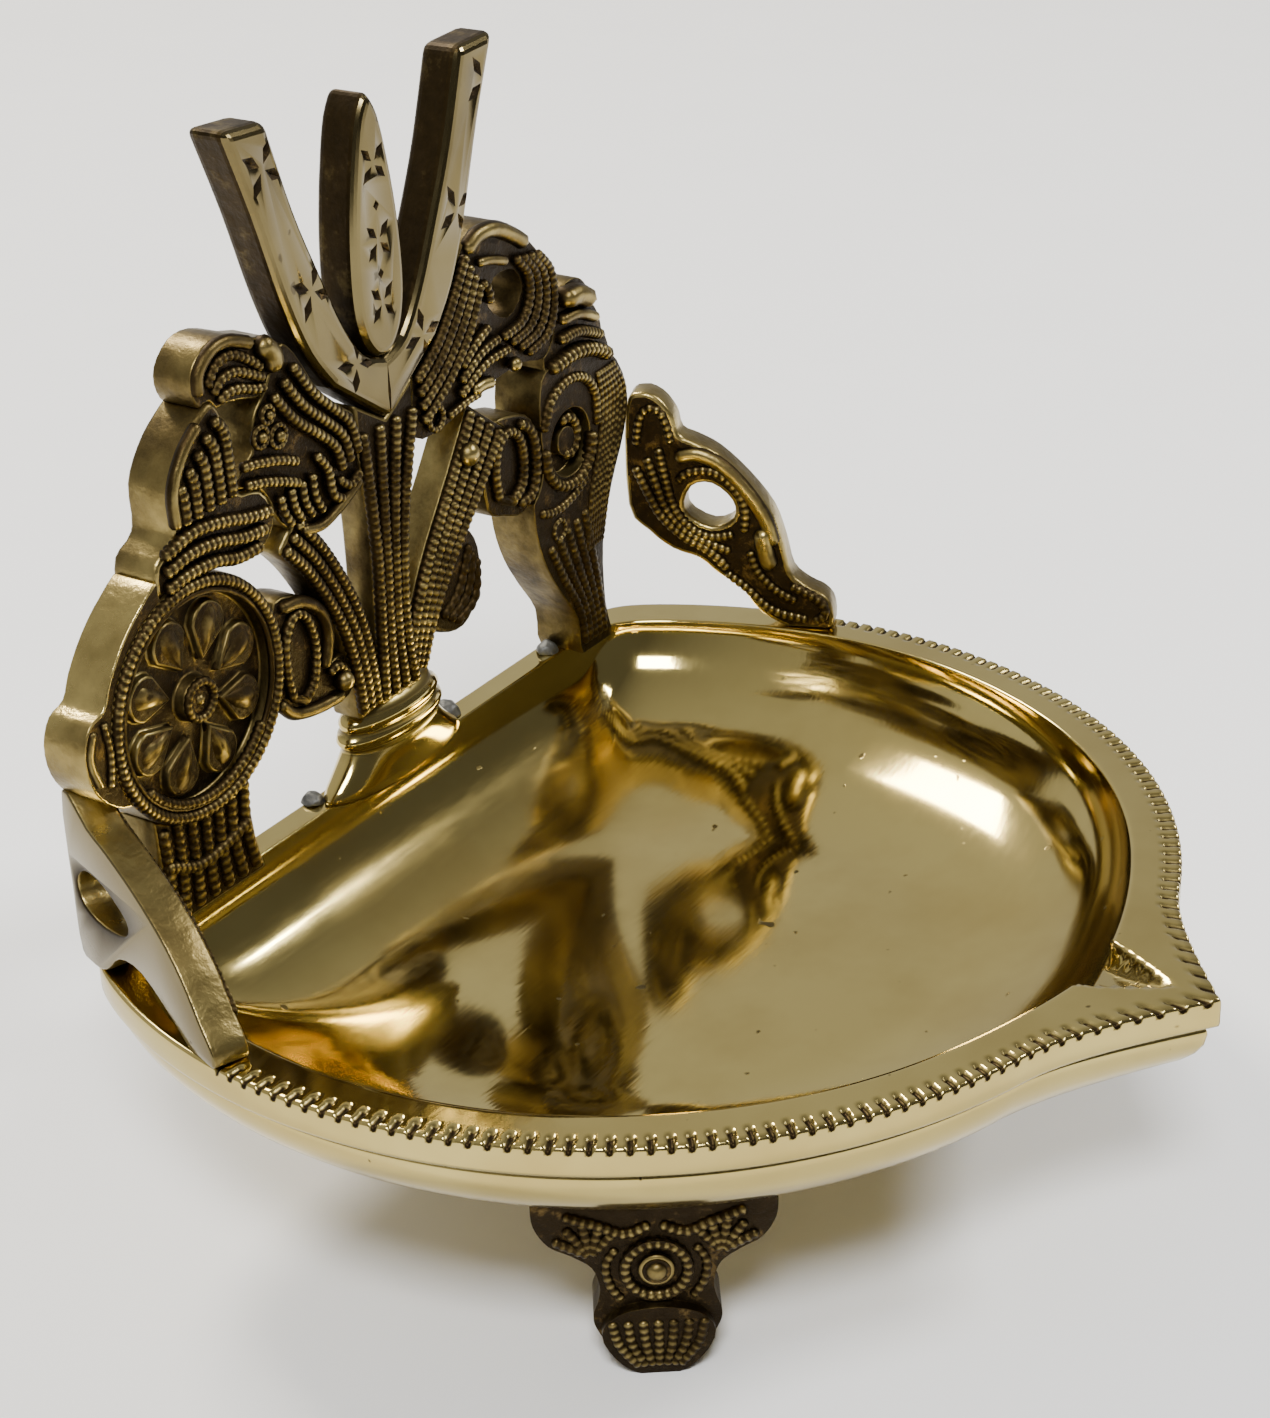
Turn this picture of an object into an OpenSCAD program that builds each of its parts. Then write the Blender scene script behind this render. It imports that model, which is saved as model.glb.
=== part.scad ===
// Brass diya oil lamp: an open bowl with a pouring lip for the wick, three cast feet,
// and a pierced back plate that carries a forehead mark between a discus and a conch.
// The back plate stands on the straight rear rim, and its two wings bend forward along it.
// Origin: on the table, under the middle of the lamp. The lip points along -Y.

/* [Bowl] */
// Radius of the round part of the rim, at its outer edge
rim_r = 60; // [59:0.5:61]
// How far the pouring lip reaches past the round rim
lip_reach = 9.3; // [7:0.1:11]
// Width of the flat rim at the sides and at the front
rim_w = 5.3; // [4.5:0.1:6]
// Width of the flat rim along the straight rear edge
rear_rim_w = 3.3; // [2.8:0.1:4]
// Distance from the bowl's centre to the straight rear edge
rear_y = 35.5; // [35:0.1:36]
// Height of the smooth band around the rim
band_h = 3.3; // [2.5:0.1:3.8]
// Depth of the basin below the rim
basin_depth = 14; // [13:0.5:15]
// Thickness of the basin's floor
floor_t = 2.2; // [1.8:0.1:2.5]

/* [Feet] */
// Height of the rim above the table
stand_h = 32; // [31:0.5:34]
// Distance from the bowl's centre to the outer face of each front foot
foot_r = 51.5; // [50:0.5:52.5]
// Distance from the bowl's centre to the outer face of the rear foot
rear_foot_r = 28; // [27:0.5:29]
// Angle between the pouring lip and each front foot
foot_angle = 55; // [50:1:62]
// Thickness of a foot
foot_t = 5; // [4.5:0.1:5.5]

/* [Back plate] */
// Distance from the bowl's centre to the front of the back plate
plate_y = 29.2; // [29:0.1:29.6]
// Thickness of the back plate
plate_t = 6.5; // [6:0.1:7]
// Thickness of the forehead mark
mark_t = 5.2; // [4.5:0.1:6]
// Thickness of the wings
wing_t = 4; // [3.5:0.1:4.5]
// Height of the flared pedestal
pedestal_h = 10; // [9.5:0.1:10.5]

/* [Discus] */
// Outer radius of the discus
discus_r = 13.3; // [13:0.1:13.5]
// Number of petals on the discus
petal_count = 8; // [6:1:9]

/* [Hidden] */
$fn = 64;

brass = "#b79a4a";
old_brass = "#5b4722";
solder_grey = "#8d8d88";

// The lamp runs from the lip's tip to the back of the plate; the origin is midway.
plate_back = plate_y + plate_t;
mid_y = (rim_r + lip_reach - plate_back) / 2;

// Bowl outline
lip_half_angle = 18;
lip_sharpness = 1.9;
corner_power = 26;
ring_steps = 72;
groove_in = 1.6;
groove_h = 0.3;
belly_in = 1.2;
belly_top = 4.6;
floor_scale = 0.5;
scale_centre_y = -9;
belly_steps = 5;
basin_steps = 6;
inner_lip = 1.6;
inner_lip_angle = 25;

// Wick notch: how far it reaches into the lip, half its opening as an angle, and how
// quickly it fades with depth
notch_reach = 8.3;
notch_half_angle = 7;
notch_fade = 24;

// Discus
discus_x = -34.3;
discus_z = 24;
discus_t = plate_t - 1.5;
field_r = 11.3;
field_depth = 1.5;
hub_r = 2.5;
petal_in = 4;
petal_out = 10.4;
petal_r = 2.5;

// Foot
rosette_z = 12;
toe_bulge = 1.2;
foot_hidden_top = 24;
fit_gap = 0.1;

// Stalk and branches: how much thinner they are than the plate
stalk_set_back = 2.5;

// Pedestal
pedestal_x = 0.2;
pedestal_depth = 6.4;

// Distance from the bowl's centre to the rim's edge, in the direction phi degrees
// from the lip. The round rim and the straight rear edge blend with a rounded corner.
function edge(phi, r, rear, lip, lip_angle) =
    let (c = max(-cos(phi), 0.0001))
    let (u = min(abs(phi) / lip_angle, 1))
    pow(pow(1 / r, corner_power) + pow(c / rear, corner_power), -1 / corner_power)
        + lip * pow(1 - u, lip_sharpness);

// One ring of the bowl: an edge outline shrunk by s about the middle of the floor
function ring(r, rear, lip, lip_angle, s, z) = [
    for (i = [0:ring_steps - 1])
        let (phi = 360 * i / ring_steps - 180)
        let (d = edge(phi, r, rear, lip, lip_angle))
        [d * sin(phi) * s, scale_centre_y + (-d * cos(phi) - scale_centre_y) * s, z]
];

function shrink(tau) = 1 - (1 - floor_scale) * (1 - cos(tau));

// The belly, from the floor's underside up to the groove under the rim band
function belly_rings() = [
    for (i = [belly_steps:-1:0])
        let (tau = 90 * i / belly_steps)
        ring(rim_r - belly_in, rear_y - belly_in, lip_reach * pow(cos(tau), 2),
            lip_half_angle, shrink(tau),
            -belly_top - (basin_depth + floor_t - belly_top) * sin(tau))
];

// The groove, the smooth band and the rim's outer edge, going up
function band_rings() = [
    ring(rim_r - groove_in, rear_y - groove_in, lip_reach, lip_half_angle, 1,
        -band_h - groove_h),
    ring(rim_r, rear_y, lip_reach, lip_half_angle, 1, -band_h),
    ring(rim_r, rear_y, lip_reach, lip_half_angle, 1, 0)
];

// The basin, from the rim's inner edge down to the floor, with the wick notch in front
function basin_rings() = [
    for (i = [0:basin_steps])
        let (tau = 90 * i / basin_steps)
        let (plain = ring(rim_r - rim_w, rear_y - rear_rim_w, inner_lip * pow(cos(tau), 2),
            inner_lip_angle, shrink(tau), -basin_depth * sin(tau)))
        let (reach = notch_reach * max(0, 1 - tau / notch_fade))
        [for (k = [0:ring_steps - 1])
            let (off = abs(360 * k / ring_steps - 180) / notch_half_angle)
            plain[k] - [0, reach * max(0, 1 - off), 0]]
];

// A closed surface from a stack of rings, with flat faces on the first and the last
module ring_stack(rings) {
    n = ring_steps;
    m = len(rings);
    middle = [0, scale_centre_y, 0];
    ends = [middle + [0, 0, rings[0][0][2]], middle + [0, 0, rings[m - 1][0][2]]];
    points = concat([for (r = rings) for (p = r) p], ends);
    lower = [for (j = [0:m - 2]) for (i = [0:n - 1])
        [j * n + i, (j + 1) * n + i, (j + 1) * n + (i + 1) % n]];
    upper = [for (j = [0:m - 2]) for (i = [0:n - 1])
        [j * n + i, (j + 1) * n + (i + 1) % n, j * n + (i + 1) % n]];
    first_face = [for (i = [0:n - 1]) [m * n, i, (i + 1) % n]];
    last_face = [for (i = [0:n - 1])
        [m * n + 1, (m - 1) * n + (i + 1) % n, (m - 1) * n + i]];
    polyhedron(points, concat(lower, upper, first_face, last_face), convexity = 6);
}

// A point of a smooth curve between b and c
function between(a, b, c, d, t) =
    0.5 * (2 * b + (c - a) * t + (2 * a - 5 * b + 4 * c - d) * t * t
        + (3 * b - a - 3 * c + d) * t * t * t);

// Smooth closed outline through hand-placed points
function closed_curve(p, steps = 3) =
    let (n = len(p))
    [for (i = [0:n - 1]) for (j = [0:steps - 1])
        between(p[(i + n - 1) % n], p[i], p[(i + 1) % n], p[(i + 2) % n], j / steps)];

// Smooth open path through hand-placed points
function open_curve(p, steps = 4) =
    let (n = len(p))
    concat([for (i = [0:n - 2]) for (j = [0:steps - 1])
        between(p[max(i - 1, 0)], p[i], p[i + 1], p[min(i + 2, n - 1)], j / steps)],
        [p[n - 1]]);

// A strip along a path, of width w0 at its start and w1 at its end
function strip(path, w0, w1) =
    let (n = len(path))
    let (side = [for (i = [0:n - 1])
        let (d = path[min(i + 1, n - 1)] - path[max(i - 1, 0)])
        [-d[1], d[0]] / norm(d) * (w0 + (w1 - w0) * i / (n - 1)) / 2])
    concat([for (i = [0:n - 1]) path[i] + side[i]],
        [for (i = [n - 1:-1:0]) path[i] - side[i]]);

// Moves a shape measured from the bowl's centre and its rim into the lamp's own frame
module on_rim() {
    translate([0, mid_y, stand_h])
        children();
}

// Stands a flat outline in X and Z up, with its front face at front_y
module upright(front_y, thick) {
    translate([0, front_y + thick, 0])
        rotate([90, 0, 0])
            linear_extrude(thick)
                children();
}

// Stands a flat outline up on the line between two points of the rim, thickened to
// the left of the line when seen from above
module upright_between(from, to, thick) {
    d = to - from;
    translate([from[0], from[1], 0])
        rotate([90, 0, atan2(d[1], d[0])])
            translate([0, 0, -thick])
                linear_extrude(thick)
                    children();
}

module bowl() {
    color(brass)
        on_rim()
            ring_stack(concat(belly_rings(), band_rings(), basin_rings()));
}

// A cast foot: scrolled shoulders, a rosette on the neck and a shell-shaped toe.
// Its top is cut to the belly's section at the foot's place.
module foot(angle, r) {
    at = round((angle == 180 ? 0 : angle + 180) / 360 * ring_steps);
    section = [for (ring = belly_rings())
        [norm([ring[at][0], ring[at][1]]), ring[at][2] - fit_gap]];
    above = concat(section, [[section[belly_steps][0], 6], [0, 6], [0, section[0][1]]]);
    half = open_curve([[2, 0], [4.4, 2], [6.1, 4.9], [6.3, 6.6], [5.8, 8.2], [5.6, 10],
        [6.3, 12.2], [8.2, 13.7], [10.4, 15], [11.8, 17.4], [12, 20]]);
    side = concat(half, [[12, foot_hidden_top]]);
    outline = concat(side, [for (i = [len(side) - 1:-1:0]) [-side[i][0], side[i][1]]]);
    toe = closed_curve([[2, 0], [4.4, 2], [5.6, 4.9], [4, 7.2], [0, 8], [-4, 7.2],
        [-5.6, 4.9], [-4.4, 2], [-2, 0]]);
    color(old_brass)
        difference() {
            translate([0, mid_y, 0])
                rotate([0, 0, angle])
                    union() {
                        upright(-r, foot_t) polygon(outline);
                        upright(-r - toe_bulge, toe_bulge) polygon(toe);
                        translate([0, -r, rosette_z])
                            rotate([90, 0, 0]) {
                                ring_of(3.6, 0.8, 0.7);
                                cylinder(h = 0.8, r = 1.4);
                            }
                    }
            on_rim()
                if (angle == 180)
                    translate([-20, 0, 0])
                        rotate([90, 0, 90])
                            linear_extrude(40) polygon(above);
                else
                    rotate_extrude($fn = 96) polygon(above);
        }
}

// A raised ring, square in section
module ring_of(r, wide, high) {
    difference() {
        cylinder(h = high, r = r);
        translate([0, 0, -1]) cylinder(h = high + 2, r = r - wide);
    }
}

module foot_front_left() { foot(-foot_angle, foot_r); }
module foot_front_right() { foot(foot_angle, foot_r); }
module foot_rear() { foot(180, rear_foot_r); }

// A moulded, flaring base, flat in front and behind: two rings above a smooth skirt
module pedestal() {
    profile = [[0, 0], [12, 0], [11.9, 1.2], [10, 3], [8, 4.6], [7.6, 5.6], [8.6, 6.2],
        [8.8, 7.4], [7.4, 7.9], [7, 8.4], [7.6, 8.8], [7.4, 9.6], [6, 10], [0, 10]];
    color(brass)
        on_rim()
            translate([pedestal_x, plate_back - pedestal_depth / 2, 0])
                intersection() {
                    rotate_extrude()
                        polygon([for (p = profile) [p[0], p[1] * pedestal_h / 10]]);
                    translate([-20, -pedestal_depth / 2, 0])
                        cube([40, pedestal_depth, pedestal_h]);
                }
}

// Outlines that two neighbours share, so that they meet face to face
stalk_left = open_curve([[-5, 38], [-4.4, 33], [-4.2, 27], [-4.4, 20], [-4.6, 10]]);
stalk_right = open_curve([[2.4, 10], [1.6, 14], [1.4, 20], [1.8, 27], [3, 33], [4.6, 38]]);
stalk_outline = concat(stalk_left, stalk_right, [[5.2, 46.2], [0, 43], [-5.2, 46.2]]);
left_branch_path = open_curve([[-6, 10], [-6.9, 16], [-8.2, 21.4], [-10.8, 27], [-14, 32],
    [-17.6, 36]]);
left_branch_outline = strip(left_branch_path, 4.2, 4.8);
right_branch_path = open_curve([[1, 12], [3.4, 17], [6.8, 22.4], [10.8, 27.4], [14.6, 32],
    [18.4, 37]]);
right_branch_outline = strip(right_branch_path, 4, 8.6);
shoulder_outline = closed_curve([[-38.2, 36.4], [-38.2, 40.2], [-35.4, 42.2], [-35.2, 47],
    [-33.2, 50.4], [-30.4, 52.8], [-27.4, 54], [-25.8, 50], [-25.6, 44], [-21.6, 42.6],
    [-19.6, 39], [-22, 36], [-28, 36.6], [-34.3, 36.8]]);
left_scroll_outline = closed_curve([[-25.6, 44], [-21.6, 42.6], [-19.6, 39], [-17.6, 36.6],
    [-13, 34.6], [-8, 36], [-4.6, 38], [-4, 44], [-10, 49], [-14, 55], [-16.4, 56.4],
    [-19, 52.8], [-21.4, 50], [-22, 46.6]]);
right_scroll_outline = closed_curve([[5, 39], [10, 38.4], [15, 39.6], [20, 40.6], [26, 41],
    [30.4, 40.2], [32.6, 43], [33.4, 48], [31.6, 51.4], [28.4, 55], [24.6, 58], [20.4, 59.2],
    [15.8, 57.8], [11, 51], [4, 45]]);
clasp_outline = closed_curve([[18, 25.4], [21, 23.6], [25, 22.6], [28, 25], [28.6, 29.4],
    [27.4, 33.6], [24, 35.2], [20, 35.4], [17.6, 32]]);

// Half of the forehead mark's outline, from its point up the outer edge of one arm,
// over the top and down the inner edge
mark_outer = open_curve([[9.2, 49.5], [12.8, 54.2], [15.9, 61], [19.3, 71], [23, 80.3]]);
mark_inner = open_curve([[16.2, 79.9], [12.9, 70], [9.5, 62.3], [6.4, 55.9], [3.3, 51.6],
    [0, 50.2]]);
mark_tip = [0, 43];

module forehead_mark() {
    right = concat([mark_tip], mark_outer, mark_inner);
    left = [for (i = [len(right) - 2:-1:1]) [-right[i][0], right[i][1]]];
    color(brass)
        on_rim()
            upright(plate_y - 0.4, mark_t)
                polygon(concat(right, left));
}

module mark_flame() {
    half = open_curve([[0, 50.2], [1.6, 50.7], [3.3, 53], [4.2, 56.5], [4.3, 61], [3.9, 66],
        [3, 71.5], [1.8, 76.3], [0, 79.2]]);
    color(brass)
        on_rim()
            upright(plate_y - 0.4, mark_t)
                polygon(concat(half,
                    [for (i = [len(half) - 2:-1:1]) [-half[i][0], half[i][1]]]));
}

// The upright fan of ribs between the pedestal and the forehead mark
module stalk() {
    color(old_brass)
        on_rim()
            upright(plate_y + 0.4, plate_t - stalk_set_back)
                polygon(stalk_outline);
}

module left_branch() {
    color(old_brass)
        on_rim()
            upright(plate_y + 0.6, plate_t - stalk_set_back)
                difference() {
                    polygon(left_branch_outline);
                    polygon(stalk_outline);
                }
}

module right_branch() {
    color(old_brass)
        on_rim()
            upright(plate_y + 0.6, plate_t - stalk_set_back)
                difference() {
                    polygon(right_branch_outline);
                    polygon(stalk_outline);
                }
}

// A closed bud under the right branch
module bud() {
    outline = closed_curve([[5.6, 16], [8.8, 13.4], [12.8, 12.6], [15.6, 14.8], [16.8, 18.6],
        [16.2, 22.6], [13, 25], [8, 21]]);
    color(old_brass)
        on_rim()
            difference() {
                upright(plate_y + 1.2, plate_t - 2.4) polygon(outline);
                upright(plate_y, plate_t)
                    polygon(right_branch_outline);
            }
}

function petal(a) =
    let (tip = petal_out - petal_r)
    concat([petal_in * [cos(a), sin(a)]],
        [for (b = [-100:20:100]) tip * [cos(a), sin(a)] + petal_r * [cos(a + b), sin(a + b)]]);

// The discus: a thick wheel with a sunken field, petals and a hub
module discus() {
    color(old_brass)
        on_rim()
            translate([discus_x, plate_y, discus_z])
                rotate([90, 0, 0]) {
                    translate([0, 0, -discus_t])
                        cylinder(h = discus_t - field_depth, r = discus_r);
                    translate([0, 0, -field_depth])
                        difference() {
                            cylinder(h = field_depth, r = discus_r);
                            translate([0, 0, -1])
                                cylinder(h = field_depth + 2, r = field_r);
                        }
                    translate([0, 0, -field_depth]) {
                        cylinder(h = field_depth, r = hub_r);
                        linear_extrude(1)
                            for (i = [0:petal_count - 1])
                                polygon(petal(90 + 360 * (i + 0.5) / petal_count));
                    }
                }
}

// Where the discus is cut out of its neighbours
module discus_space() {
    translate([discus_x, discus_z])
        circle(r = discus_r, $fn = 96);
}

module discus_base() {
    outline = [[-42.5, 0], [-42, 6], [-42.5, 14], [-27, 14], [-27.5, 8], [-27, 4], [-26, 0]];
    color(old_brass)
        on_rim()
            upright(plate_y + 0.8, plate_t - 1.2)
                difference() {
                    polygon(outline);
                    discus_space();
                }
}

// The beaded scroll that ties the discus to the stalk
module discus_scroll() {
    outline = closed_curve([[-20.4, 29], [-15.8, 28], [-12.4, 25.4], [-11.2, 22], [-12.6, 18.6],
        [-9.6, 18.6], [-8.6, 14], [-12, 13.2], [-16.6, 14], [-20.6, 16], [-22.6, 19],
        [-21.4, 24]]);
    color(old_brass)
        on_rim()
            upright(plate_y + 1, plate_t - 2)
                difference() {
                    polygon(outline);
                    discus_space();
                    polygon(left_branch_outline);
                }
}

// The smooth band that follows the outside of the discus down to the left wing
module left_edge_band() {
    outer = closed_curve([[-46, 17], [-49.2, 18.8], [-51.2, 21.8], [-51.6, 25.2], [-50.4, 27.8],
        [-48.2, 28.8], [-47, 31.2], [-44.6, 34.4], [-41.4, 37.2], [-37.8, 38.8], [-34, 34],
        [-34, 24], [-42, 18]]);
    color(brass)
        on_rim()
            upright(plate_y, plate_t - 1)
                difference() {
                    polygon(outer);
                    discus_space();
                    polygon(shoulder_outline);
                }
}

// Two beaded bands and a nest of arches above the discus
module left_shoulder() {
    color(old_brass)
        on_rim()
            upright(plate_y + 0.3, plate_t - 0.8)
                difference() {
                    polygon(shoulder_outline);
                    discus_space();
                }
}

module left_top_curl() {
    outline = closed_curve([[-29.8, 55], [-29.8, 57.6], [-27.4, 59.8], [-24.2, 60], [-20, 58.4],
        [-16.8, 57.2], [-16.6, 53.4], [-19.6, 52], [-22.6, 52.6], [-25, 53], [-28, 53]]);
    color(old_brass)
        on_rim()
            upright(plate_y + 0.8, plate_t - 1.6)
                difference() {
                    polygon(outline);
                    mark_space();
                    polygon(shoulder_outline);
                }
}

// Where the forehead mark is cut out of its neighbours
module mark_space() {
    right = concat([mark_tip], mark_outer);
    polygon(concat(right, [for (i = [len(right) - 1:-1:1]) [-right[i][0], right[i][1]]]));
}

// Ribbed scrolls between the left shoulder and the forehead mark
module left_scrolls() {
    color(old_brass)
        on_rim()
            upright(plate_y + 0.6, plate_t - 1.2)
                difference() {
                    polygon(left_scroll_outline);
                    polygon(shoulder_outline);
                    polygon(left_branch_outline);
                    mark_space();
                    polygon(stalk_outline);
                }
}

// Parallel ribs that sweep from the forehead mark over to the conch
module right_upper_scrolls() {
    hole = closed_curve([[20, 49.6], [21.4, 52.6], [25.4, 52.4], [26.6, 49.4], [23.6, 47.2]]);
    color(old_brass)
        on_rim()
            upright(plate_y + 0.5, plate_t - 1)
                difference() {
                    polygon(right_scroll_outline);
                    polygon(hole);
                    mark_space();
                    polygon(stalk_outline);
                }
}

// The clasp scroll between the right branch and the conch
module right_clasp() {
    color(old_brass)
        on_rim()
            upright(plate_y + 0.6, plate_t - 1.2)
                difference() {
                    polygon(clasp_outline);
                    polygon(right_branch_outline);
                }
}

// The conch: a stepped spire, a ribbed body with a sunken mouth, and a narrow tail
// that stands on the rim
module conch() {
    body = closed_curve([[35.2, 0], [34.4, 5], [31.2, 9.6], [28.4, 14], [26.6, 19], [26.4, 24],
        [28.4, 29], [28.4, 35], [30, 38.6], [36, 38.8], [43.4, 37], [47, 31.4], [46.2, 26],
        [43, 20], [40.6, 13], [40.6, 5], [41.4, 0]]);
    mouth_middle = [34.4, 28.4];
    spire_steps = [[37, 35.5, 7.2], [36.4, 39.4, 6.2], [36.2, 42.4, 5],
        [36.6, 44.4, 3.6]];
    color(old_brass)
        on_rim() {
            difference() {
                union() {
                    upright(plate_y, plate_t) polygon(body);
                    for (s = spire_steps)
                        upright(plate_y + 0.4, plate_t - 1)
                            translate([s[0], s[1]]) circle(r = s[2], $fn = 48);
                }
                translate([mouth_middle[0], plate_y + 2, mouth_middle[1]])
                    rotate([90, 0, 0]) cylinder(h = 4, r = 4.2);
                upright(plate_y - 1, plate_t + 2) polygon(clasp_outline);
                upright(plate_y - 1, plate_t + 2) polygon(right_scroll_outline);
                translate([0, plate_y - 2, -6]) cube([100, 20, 6]);
            }
            translate([mouth_middle[0], plate_y + 2, mouth_middle[1]])
                rotate([90, 0, 0]) cylinder(h = 1.4, r = 1.8);
        }
}

right_wing_from = [46.6, 29.8];
right_wing_to = [54.9, 8.6];
left_wing_from = [-50.2, 34];
left_wing_to = [-60, 8.5];

// The right wing: an arch beside the conch, a pierced scroll, and a curl on the rim
module right_wing() {
    outline = closed_curve([[0.4, 28.4], [2.3, 30.5], [4.6, 29.8], [6.3, 27.6], [7, 25.2],
        [9, 24.3], [11.8, 22.8], [15.4, 19.4], [18.4, 15.4], [19.9, 11], [20.8, 7.4],
        [22.8, 5.6], [24.8, 4.6], [26, 2.8], [25.6, -0.4], [21, -0.2], [17, 1.8],
        [14.6, 4.8], [11.5, 6.9], [9.2, 8.8], [5.9, 9.9], [2.9, 12.2], [0.4, 15.6]]);
    hole = closed_curve([[7.5, 15.2], [8.4, 18.4], [11, 18.9], [13.5, 16.8], [13.6, 14.4],
        [10.8, 13.2]]);
    color(old_brass)
        on_rim()
            upright_between(right_wing_from, right_wing_to, wing_t)
                difference() {
                    polygon(outline);
                    polygon(hole);
                    translate([0, -10]) square([40, 10]);
                }
}

// The left wing: lower, smooth on its outer face, with one slot and an open arch
module left_wing() {
    outline = closed_curve([[-1, 19.4], [4, 17], [8, 15.8], [13, 13.8], [18, 11], [21.6, 8],
        [24.4, 4.4], [26.6, 1.8], [26.4, 0], [22, 0], [19, 1.6], [13, 4.2], [8, 3.6],
        [4.6, 0.8], [2, 0], [-1, 0.6], [-1.4, 8]]);
    slot = closed_curve([[0, 9.2], [2, 11.2], [6, 11.3], [10.6, 9.3], [9.8, 7.2], [5, 6.2],
        [1, 6.9]]);
    color(brass)
        on_rim()
            upright_between(left_wing_from, left_wing_to, wing_t)
                difference() {
                    polygon(outline);
                    polygon(slot);
                    translate([-10, -10]) square([50, 10]);
                }
}

// Grey solder where the back plate is fixed to the rim: beside the pedestal, at the
// conch's tail and at the ends of the wings
module solder() {
    lumps = [[13.4, 34.4, 1.7], [-11.9, 34.6, 1.3], [33.6, 33.6, 1.4], [43.2, 33.2, 1.6],
        [-43.9, 33, 1.4]];
    color(solder_grey)
        on_rim()
            difference() {
                for (s = lumps)
                    translate([s[0], s[1], 0]) sphere(r = s[2], $fn = 32);
                translate([-100, -100, -10]) cube([200, 200, 10]);
            }
}

bowl();
foot_front_left();
foot_front_right();
foot_rear();
pedestal();
stalk();
left_branch();
right_branch();
bud();
forehead_mark();
mark_flame();
discus();
discus_base();
discus_scroll();
left_edge_band();
left_shoulder();
left_top_curl();
left_scrolls();
left_wing();
right_upper_scrolls();
right_clasp();
conch();
right_wing();
solder();
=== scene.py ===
# %% [markdown]
# A small brass oil lamp, cast and polished by hand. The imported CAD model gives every
# piece its place and size. Each step below takes one piece, says what it is on the real
# lamp, and turns its plain solid into a finished surface.

# %% Load the frame
import math
import bmesh
import bpy
from mathutils import Matrix, Vector, noise


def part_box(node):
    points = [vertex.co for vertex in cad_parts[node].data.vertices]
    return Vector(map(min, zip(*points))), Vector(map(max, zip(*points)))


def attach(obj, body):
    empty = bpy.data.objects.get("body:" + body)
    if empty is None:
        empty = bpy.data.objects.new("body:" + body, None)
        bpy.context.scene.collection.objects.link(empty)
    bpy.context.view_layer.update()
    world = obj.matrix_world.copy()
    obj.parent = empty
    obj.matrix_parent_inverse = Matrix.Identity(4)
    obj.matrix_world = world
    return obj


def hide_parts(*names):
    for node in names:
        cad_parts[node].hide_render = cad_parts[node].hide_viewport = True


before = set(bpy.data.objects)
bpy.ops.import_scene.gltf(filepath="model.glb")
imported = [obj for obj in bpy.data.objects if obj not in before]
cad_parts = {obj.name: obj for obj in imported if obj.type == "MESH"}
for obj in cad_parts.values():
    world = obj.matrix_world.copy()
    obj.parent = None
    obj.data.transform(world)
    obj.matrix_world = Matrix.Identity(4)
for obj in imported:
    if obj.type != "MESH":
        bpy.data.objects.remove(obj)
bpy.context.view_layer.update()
MM = 0.001
bowl_low, bowl_high = (Vector(corner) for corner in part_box("bowl"))
RIM_R, LIP = 60.0, 9.3
RIM_Z = bowl_high.z / MM
MID_Y = bowl_low.y / MM + RIM_R + LIP
PLATE_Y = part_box("discus")[0][1] / MM - MID_Y
print("rim at", round(RIM_Z, 2), "mm, bowl centre at y", round(MID_Y, 2),
      "mm, plate front at", round(PLATE_Y, 2), "mm from it")

# %% [markdown]
# Sizes are easier to read in millimetres from the middle of the bowl's rim, so one
# function turns them into metres in the lamp's own frame. Flat ornament is drawn on a
# face: a function that takes across, up and out, and gives the point in space.

# %% Places and faces
def rim(x, y, z):
    return Vector((x, y + MID_Y, z + RIM_Z)) * MM


def plate_face(u, v, out):
    return rim(u, PLATE_Y - out, v)


def outward_of(start, end):
    """The level direction square to a line, on its right hand."""
    along = (Vector(end) - Vector(start)).normalized()
    return Vector((along.y, -along.x, 0))


def face_between(start, end, thick=0.0, inside=False):
    along = (Vector(end) - Vector(start)).normalized()
    outward = outward_of(start, end).to_2d()

    def place(u, v, out):
        beyond = -thick - out if inside else out
        spot = Vector(start) + along * u + outward * beyond
        return rim(spot.x, spot.y, v)
    return place


def foot_face(angle, distance):
    turn = math.radians(angle)
    across = Vector((math.cos(turn), math.sin(turn)))
    outward = Vector((math.sin(turn), -math.cos(turn)))

    def place(u, v, out):
        spot = across * u + outward * (distance + out)
        return rim(spot.x, spot.y, v - RIM_Z)
    return place


RIGHT_WING = ((46.6, 29.8), (54.9, 8.6))
LEFT_WING = ((-50.2, 34.0), (-60.0, 8.5))
right_wing_face = face_between(*RIGHT_WING)
left_wing_inside = face_between(*LEFT_WING, thick=4.0, inside=True)
print("the wings look towards", [tuple(round(c, 2) for c in outward_of(*wing))
                                 for wing in (RIGHT_WING, LEFT_WING)])

# %% [markdown]
# Brass needs only a few nodes: a metallic shader whose colour and roughness change with
# scratches, tarnish and wear. Writing node maths as Python expressions keeps it
# readable, so a small class wraps a socket and gives it the usual operators.

# %% Shader helper
class Wire:
    """A socket that can be added, multiplied and mixed."""

    def __init__(self, nodes, socket):
        self.nodes, self.socket = nodes, socket

    def math(self, operation, a, b):
        return self.nodes.add("ShaderNodeMath", {"operation": operation}, {0: a, 1: b})

    def __add__(self, other):
        return self.math("ADD", self, other)

    def __sub__(self, other):
        return self.math("SUBTRACT", self, other)

    def __rsub__(self, other):
        return self.math("SUBTRACT", other, self)

    def __mul__(self, other):
        return self.math("MULTIPLY", self, other)

    def clamp(self):
        return self.nodes.add("ShaderNodeClamp", {}, {0: self})

    __radd__, __rmul__ = __add__, __mul__


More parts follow.
